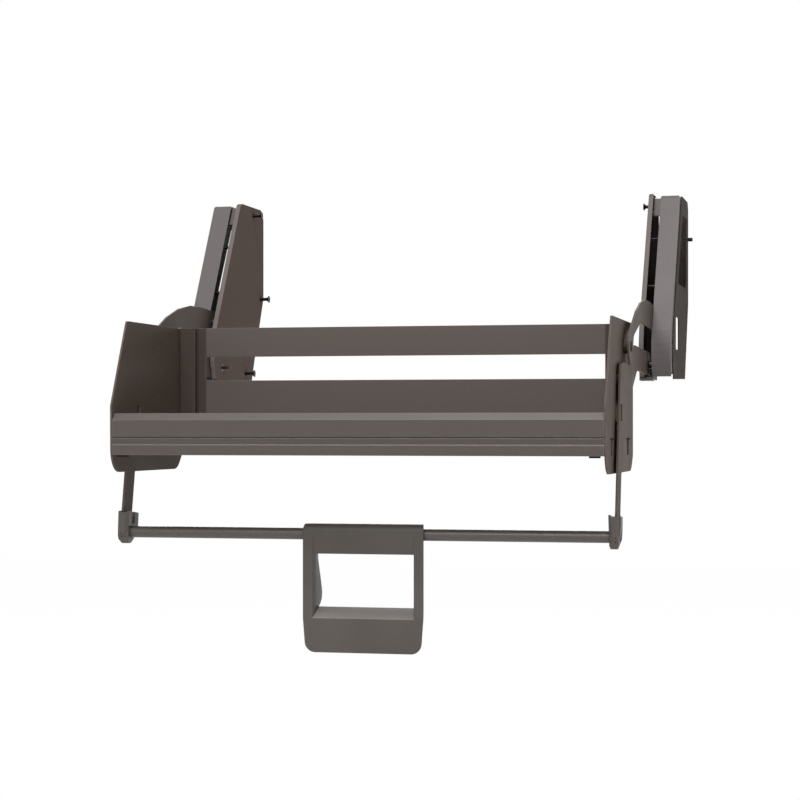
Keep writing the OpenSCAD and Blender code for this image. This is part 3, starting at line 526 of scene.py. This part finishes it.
def narrow(piece, test, share):
    shape(piece, "VERT", test, bpy.ops.transform.resize, value=(share, 1, 1), center_override=(0, 0, 0))


def round_edges(piece, test, radius, steps):
    shape(piece, "EDGE", test, bpy.ops.mesh.bevel, offset=radius, segments=steps, affect="EDGES")


# The foot is narrower than the top, and its inner corners stand back from its round outer ones.
def draw_in_foot(piece):
    narrow(piece, lambda c: near(c.z, foot), 1 - foot_draw / half)
    narrow(piece, lambda c: near(c.z, foot) and abs(c.x) < opening + clear, foot_share)


def round_foot(piece):
    round_edges(piece, lambda a, b: near(a.z, foot) and near(b.z, foot) and near(a.x, b.x, 2 * clear)
                and min(abs(a.x), abs(b.x)) > opening + clear, foot_round, 8)


def round_crown(piece, depth, radius, steps):
    round_edges(piece, lambda a, b: near(a.z, top) and near(b.z, top) and near(a.y, depth)
                and near(b.y, depth), radius, steps)


def soften(piece, radius, joint):
    shape(piece, "EDGE", lambda a, b: False, bpy.ops.mesh.edges_select_sharp, sharpness=math.radians(38))
    spots = piece.data.vertices
    sharp = [[spots[k].co for k in edge.vertices] for edge in piece.data.edges if edge.select]
    ends = {(tuple(a), tuple(b)) for a, b in sharp if not (near(a.y, joint) and near(b.y, joint))}
    shape(piece, "EDGE", lambda a, b: (tuple(a), tuple(b)) in ends,
          bpy.ops.mesh.bevel, offset=radius, segments=3, affect="EDGES", clamp_overlap=True)
    shape(piece, "FACE", every, bpy.ops.mesh.remove_doubles, threshold=0.00001)


sill_abs_painted_light = moulded("smooth_grey_abs_painted_light", "7a7571", "76716d", rough=0.28, grain_mm=0.8, grain_depth=0.04,
                   ior=1.54, shine=0.2)
grip_low, grip_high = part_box("handle_front_shell")
half, top, foot = grip_high[0], grip_high[2], grip_low[2]
front, seam = grip_low[1], grip_high[1]
jamb, draft, foot_draw, foot_share = 0.0135, 0.0022, 0.0036, 0.88
opening = half - jamb
lip, band_foot, band_top = top - 0.1285, top - 0.0410, top - 0.0160
band_inset, band_depth, sill_rise = 0.0014, 0.0028, 0.0070
foot_round = 0.0135
bore_length = 0.2
# A corner of the blank that lies this far past a row or column belongs to the next one.
clear = 0.0023

front_shell = shell_blank("pull_handle_front_shell", [-half, -opening, opening, half],
                          [foot, lip, band_foot, band_top, top], front)
shape(front_shell, "FACE", lambda c: near(c.x, 0) and band_foot < c.z < band_top,
      bpy.ops.mesh.inset, thickness=band_inset, use_boundary=False)
shift(front_shell, lambda c: abs(c.x) < opening - band_inset / 2 and near(c.z, band_foot), (0, band_depth, 0))
thicken(front_shell, (0, seam - front, 0))
shape(front_shell, "VERT", lambda c: c.y > (front + seam) / 2,
      bpy.ops.transform.resize, value=(1, 0, 1), center_override=(0, seam, 0))
shift(front_shell, lambda c: near(c.z, lip) and near(c.y, seam), (0, 0, sill_rise))
narrow(front_shell, lambda c: near(abs(c.x), opening) and near(c.y, seam) and c.z < band_foot + clear,
       1 - draft / opening)
draw_in_foot(front_shell)
narrow(front_shell, lambda c: near(c.y, seam) and abs(c.x) > opening + clear, 1 - draft / half)
round_foot(front_shell)
round_crown(front_shell, front, radius=0.0105, steps=8)
soften(front_shell, radius=0.0007, joint=seam)
bore(front_shell, bar_centre, bore_radius, bore_length)

# Each step of the back shell's swell is its fall from the top, its depth and half the gap there.
swell = [(0.1111, 0.0065, 0.0670), (0.1046, 0.0110, 0.0663), (0.0956, 0.0126, 0.0660),
         (0.0816, 0.0098, 0.0667), (0.0656, 0.0055, 0.0677), (0.0516, 0.0020, 0.0686)]
swell_draw, rear_draw, sill_depth = 0.3, 0.0040, 0.0030
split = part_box("handle_back_shell")[0][1]
rear = split + 0.0115
side, gate = half - draft, opening - draft
back_shell = shell_blank("pull_handle_back_shell", [-side, -gate, gate, side],
                         [foot, lip + sill_rise] + [top - fall for fall, depth, gap in swell]
                         + [band_foot, band_top, top], split)
thicken(back_shell, (0, rear - split, 0))
shift(back_shell, lambda c: near(c.z, lip + sill_rise) and near(c.y, rear), (0, sill_depth, sill_rise))
for fall, depth, gap in swell:
    shift(back_shell, lambda c: near(c.z, top - fall) and near(c.y, rear), (0, depth, 0))
    narrow(back_shell, lambda c: near(c.z, top - fall) and c.y > split + clear and abs(c.x) > opening + clear,
           1 - depth * swell_draw / side)
    narrow(back_shell, lambda c: near(c.z, top - fall) and c.y > split + clear and abs(c.x) < opening + clear,
           gap / gate)
draw_in_foot(back_shell)
narrow(back_shell, lambda c: c.y > split + clear and abs(c.x) > opening + clear, 1 - rear_draw / half)
round_foot(back_shell)
round_crown(back_shell, rear, radius=0.0070, steps=6)
soften(back_shell, radius=0.0009, joint=split)
bore(back_shell, bar_centre, bore_radius, bore_length)

# The sill is a smoother ABS than the grained faces round it, and its lighter colour is painted light, for the
# light that falls on the sloping sill.
sill_low, sill_high, sill_slope = lip - 0.0005, lip + 0.0160, 0.4
for shell, node in ((front_shell, "handle_front_shell"), (back_shell, "handle_back_shell")):
    finished(grey_abs, shell.name)
    shell.data.materials.append(sill_abs_painted_light)
    for face in shell.data.polygons:
        in_gap = abs(face.center.x) < opening and sill_low < face.center.z < sill_high
        if in_gap and face.normal.z > sill_slope:
            face.material_index = 1
    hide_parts(node)
    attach(shell, "handle")
